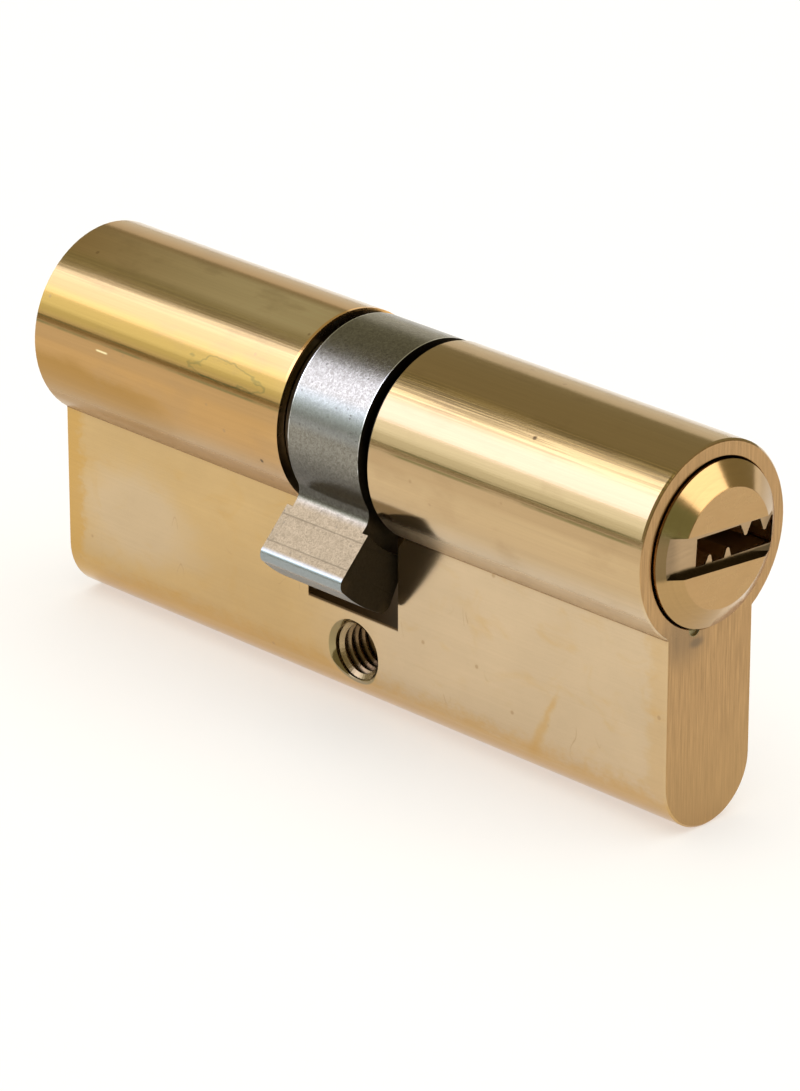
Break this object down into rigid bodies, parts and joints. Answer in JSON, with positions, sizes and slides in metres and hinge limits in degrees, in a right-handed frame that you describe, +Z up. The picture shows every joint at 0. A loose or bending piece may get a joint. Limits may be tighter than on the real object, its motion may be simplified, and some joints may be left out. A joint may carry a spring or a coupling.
{
  "type": "euro profile double lock cylinder",
  "caption": "Euro profile lock cylinder in brass with a flat dimple keyway in a turning plug at each end, a sintered steel cam in the middle, sprung pins and a sliding clutch.",
  "frame": {"origin": "centre of the fixing-screw hole, on the mid-plane of the web", "axes": "+X along the cylinder to the outer side, +Y along the fixing-screw hole, +Z up through the plug axis"},
  "size_m": [0.073, 0.0195, 0.033],
  "materials": {
    "body_brass": "drawn and polished round part, satin web, brushed ends",
    "plug_brass": "turned satin brass",
    "pin_brass": "turned",
    "sintered_steel": "sintered, speckled, satin",
    "pin_steel": "turned",
    "clutch_steel": "blued",
    "spring_steel": "oiled spring steel"
  },
  "bodies": {
    "housing": {"cylinder_body": "body_brass", "outer_pin_spring_1": "spring_steel", "outer_pin_spring_2": "spring_steel", "outer_pin_spring_3": "spring_steel", "outer_pin_spring_4": "spring_steel", "outer_pin_spring_5": "spring_steel", "outer_chamber_cap_1": "body_brass", "outer_chamber_cap_2": "body_brass", "outer_chamber_cap_3": "body_brass", "outer_chamber_cap_4": "body_brass", "outer_chamber_cap_5": "body_brass", "inner_pin_spring_1": "spring_steel", "inner_pin_spring_2": "spring_steel", "inner_pin_spring_3": "spring_steel", "inner_pin_spring_4": "spring_steel", "inner_pin_spring_5": "spring_steel", "inner_chamber_cap_1": "body_brass", "inner_chamber_cap_2": "body_brass", "inner_chamber_cap_3": "body_brass", "inner_chamber_cap_4": "body_brass", "inner_chamber_cap_5": "body_brass"},
    "outer_plug": {"outer_plug": "plug_brass", "outer_circlip": "spring_steel"},
    "inner_plug": {"inner_plug": "plug_brass", "inner_circlip": "spring_steel"},
    "cam": {"cam": "sintered_steel"},
    "clutch": {"outer_dog": "clutch_steel", "inner_dog": "clutch_steel", "clutch_spring": "spring_steel"},
    "outer_key_pin_1": {"outer_key_pin_1": "pin_brass"},
    "outer_driver_pin_1": {"outer_driver_pin_1": "pin_steel"},
    "outer_key_pin_2": {"outer_key_pin_2": "pin_brass"},
    "outer_driver_pin_2": {"outer_driver_pin_2": "pin_steel"},
    "outer_key_pin_3": {"outer_key_pin_3": "pin_brass"},
    "outer_driver_pin_3": {"outer_driver_pin_3": "pin_steel"},
    "outer_key_pin_4": {"outer_key_pin_4": "pin_brass"},
    "outer_driver_pin_4": {"outer_driver_pin_4": "pin_steel"},
    "outer_key_pin_5": {"outer_key_pin_5": "pin_brass"},
    "outer_driver_pin_5": {"outer_driver_pin_5": "pin_steel"},
    "inner_key_pin_1": {"inner_key_pin_1": "pin_brass"},
    "inner_driver_pin_1": {"inner_driver_pin_1": "pin_steel"},
    "inner_key_pin_2": {"inner_key_pin_2": "pin_brass"},
    "inner_driver_pin_2": {"inner_driver_pin_2": "pin_steel"},
    "inner_key_pin_3": {"inner_key_pin_3": "pin_brass"},
    "inner_driver_pin_3": {"inner_driver_pin_3": "pin_steel"},
    "inner_key_pin_4": {"inner_key_pin_4": "pin_brass"},
    "inner_driver_pin_4": {"inner_driver_pin_4": "pin_steel"},
    "inner_key_pin_5": {"inner_key_pin_5": "pin_brass"},
    "inner_driver_pin_5": {"inner_driver_pin_5": "pin_steel"}
  },
  "joints": [
    {"name": "outer_plug_turn", "type": "hinge", "parent": "housing", "child": "outer_plug", "pos_m": [0, 0, 0.019], "axis": [1, 0, 0], "continuous": true},
    {"name": "cam_turn", "type": "hinge", "parent": "housing", "child": "cam", "pos_m": [0, 0, 0.019], "axis": [1, 0, 0], "continuous": true},
    {"name": "inner_plug_turn", "type": "hinge", "parent": "housing", "child": "inner_plug", "pos_m": [0, 0, 0.019], "axis": [1, 0, 0], "continuous": true},
    {"name": "clutch_shift", "type": "slide", "parent": "cam", "child": "clutch", "axis": [-1, 0, 0], "range_m": [0, 0.002]},
    {"name": "outer_key_pin_1_slide", "type": "slide", "parent": "outer_plug", "child": "outer_key_pin_1", "axis": [0, 0.061, 0.9981], "range_m": [0, 0.0006]},
    {"name": "outer_driver_pin_1_slide", "type": "slide", "parent": "housing", "child": "outer_driver_pin_1", "axis": [0, 0, 1], "range_m": [-0.001, 0], "stiffness_N_per_m": 100, "springref_m": 0.002, "deforming": ["outer_pin_spring_1"]},
    {"name": "outer_key_pin_2_slide", "type": "slide", "parent": "outer_plug", "child": "outer_key_pin_2", "axis": [0, 0.061, 0.9981], "range_m": [0, 0.001]},
    {"name": "outer_driver_pin_2_slide", "type": "slide", "parent": "housing", "child": "outer_driver_pin_2", "axis": [0, 0, 1], "range_m": [-0.0006, 0], "stiffness_N_per_m": 100, "springref_m": 0.002, "deforming": ["outer_pin_spring_2"]},
    {"name": "outer_key_pin_3_slide", "type": "slide", "parent": "outer_plug", "child": "outer_key_pin_3", "axis": [0, 0.061, 0.9981], "range_m": [0, 0.0008]},
    {"name": "outer_driver_pin_3_slide", "type": "slide", "parent": "housing", "child": "outer_driver_pin_3", "axis": [0, 0, 1], "range_m": [-0.0008, 0], "stiffness_N_per_m": 100, "springref_m": 0.002, "deforming": ["outer_pin_spring_3"]},
    {"name": "outer_key_pin_4_slide", "type": "slide", "parent": "outer_plug", "child": "outer_key_pin_4", "axis": [0, 0.061, 0.9981], "range_m": [0, 0.0012]},
    {"name": "outer_driver_pin_4_slide", "type": "slide", "parent": "housing", "child": "outer_driver_pin_4", "axis": [0, 0, 1], "range_m": [-0.0004, 0], "stiffness_N_per_m": 100, "springref_m": 0.002, "deforming": ["outer_pin_spring_4"]},
    {"name": "outer_key_pin_5_slide", "type": "slide", "parent": "outer_plug", "child": "outer_key_pin_5", "axis": [0, 0.061, 0.9981], "range_m": [0, 0.0009]},
    {"name": "outer_driver_pin_5_slide", "type": "slide", "parent": "housing", "child": "outer_driver_pin_5", "axis": [0, 0, 1], "range_m": [-0.0007, 0], "stiffness_N_per_m": 100, "springref_m": 0.002, "deforming": ["outer_pin_spring_5"]},
    {"name": "inner_key_pin_1_slide", "type": "slide", "parent": "inner_plug", "child": "inner_key_pin_1", "axis": [0, 0, 1], "range_m": [0, 0.0006]},
    {"name": "inner_driver_pin_1_slide", "type": "slide", "parent": "housing", "child": "inner_driver_pin_1", "axis": [0, 0, 1], "range_m": [-0.001, 0], "stiffness_N_per_m": 100, "springref_m": 0.002, "deforming": ["inner_pin_spring_1"]},
    {"name": "inner_key_pin_2_slide", "type": "slide", "parent": "inner_plug", "child": "inner_key_pin_2", "axis": [0, 0, 1], "range_m": [0, 0.001]},
    {"name": "inner_driver_pin_2_slide", "type": "slide", "parent": "housing", "child": "inner_driver_pin_2", "axis": [0, 0, 1], "range_m": [-0.0006, 0], "stiffness_N_per_m": 100, "springref_m": 0.002, "deforming": ["inner_pin_spring_2"]},
    {"name": "inner_key_pin_3_slide", "type": "slide", "parent": "inner_plug", "child": "inner_key_pin_3", "axis": [0, 0, 1], "range_m": [0, 0.0008]},
    {"name": "inner_driver_pin_3_slide", "type": "slide", "parent": "housing", "child": "inner_driver_pin_3", "axis": [0, 0, 1], "range_m": [-0.0008, 0], "stiffness_N_per_m": 100, "springref_m": 0.002, "deforming": ["inner_pin_spring_3"]},
    {"name": "inner_key_pin_4_slide", "type": "slide", "parent": "inner_plug", "child": "inner_key_pin_4", "axis": [0, 0, 1], "range_m": [0, 0.0012]},
    {"name": "inner_driver_pin_4_slide", "type": "slide", "parent": "housing", "child": "inner_driver_pin_4", "axis": [0, 0, 1], "range_m": [-0.0004, 0], "stiffness_N_per_m": 100, "springref_m": 0.002, "deforming": ["inner_pin_spring_4"]},
    {"name": "inner_key_pin_5_slide", "type": "slide", "parent": "inner_plug", "child": "inner_key_pin_5", "axis": [0, 0, 1], "range_m": [0, 0.0009]},
    {"name": "inner_driver_pin_5_slide", "type": "slide", "parent": "housing", "child": "inner_driver_pin_5", "axis": [0, 0, 1], "range_m": [-0.0007, 0], "stiffness_N_per_m": 100, "springref_m": 0.002, "deforming": ["inner_pin_spring_5"]}
  ],
  "couplings": [
    {"joint": "cam_turn", "follows": "outer_plug_turn", "ratio": 1},
    {"joint": "outer_key_pin_2_slide", "follows": "outer_key_pin_1_slide", "ratio": 1.6667},
    {"joint": "outer_driver_pin_2_slide", "follows": "outer_driver_pin_1_slide", "ratio": 0.6},
    {"joint": "outer_key_pin_3_slide", "follows": "outer_key_pin_1_slide", "ratio": 1.3333},
    {"joint": "outer_driver_pin_3_slide", "follows": "outer_driver_pin_1_slide", "ratio": 0.8},
    {"joint": "outer_key_pin_4_slide", "follows": "outer_key_pin_1_slide", "ratio": 2},
    {"joint": "outer_driver_pin_4_slide", "follows": "outer_driver_pin_1_slide", "ratio": 0.4},
    {"joint": "outer_key_pin_5_slide", "follows": "outer_key_pin_1_slide", "ratio": 1.5},
    {"joint": "outer_driver_pin_5_slide", "follows": "outer_driver_pin_1_slide", "ratio": 0.7},
    {"joint": "inner_key_pin_2_slide", "follows": "inner_key_pin_1_slide", "ratio": 1.6667},
    {"joint": "inner_driver_pin_2_slide", "follows": "inner_driver_pin_1_slide", "ratio": 0.6},
    {"joint": "inner_key_pin_3_slide", "follows": "inner_key_pin_1_slide", "ratio": 1.3333},
    {"joint": "inner_driver_pin_3_slide", "follows": "inner_driver_pin_1_slide", "ratio": 0.8},
    {"joint": "inner_key_pin_4_slide", "follows": "inner_key_pin_1_slide", "ratio": 2},
    {"joint": "inner_driver_pin_4_slide", "follows": "inner_driver_pin_1_slide", "ratio": 0.4},
    {"joint": "inner_key_pin_5_slide", "follows": "inner_key_pin_1_slide", "ratio": 1.5},
    {"joint": "inner_driver_pin_5_slide", "follows": "inner_driver_pin_1_slide", "ratio": 0.7}
  ]
}
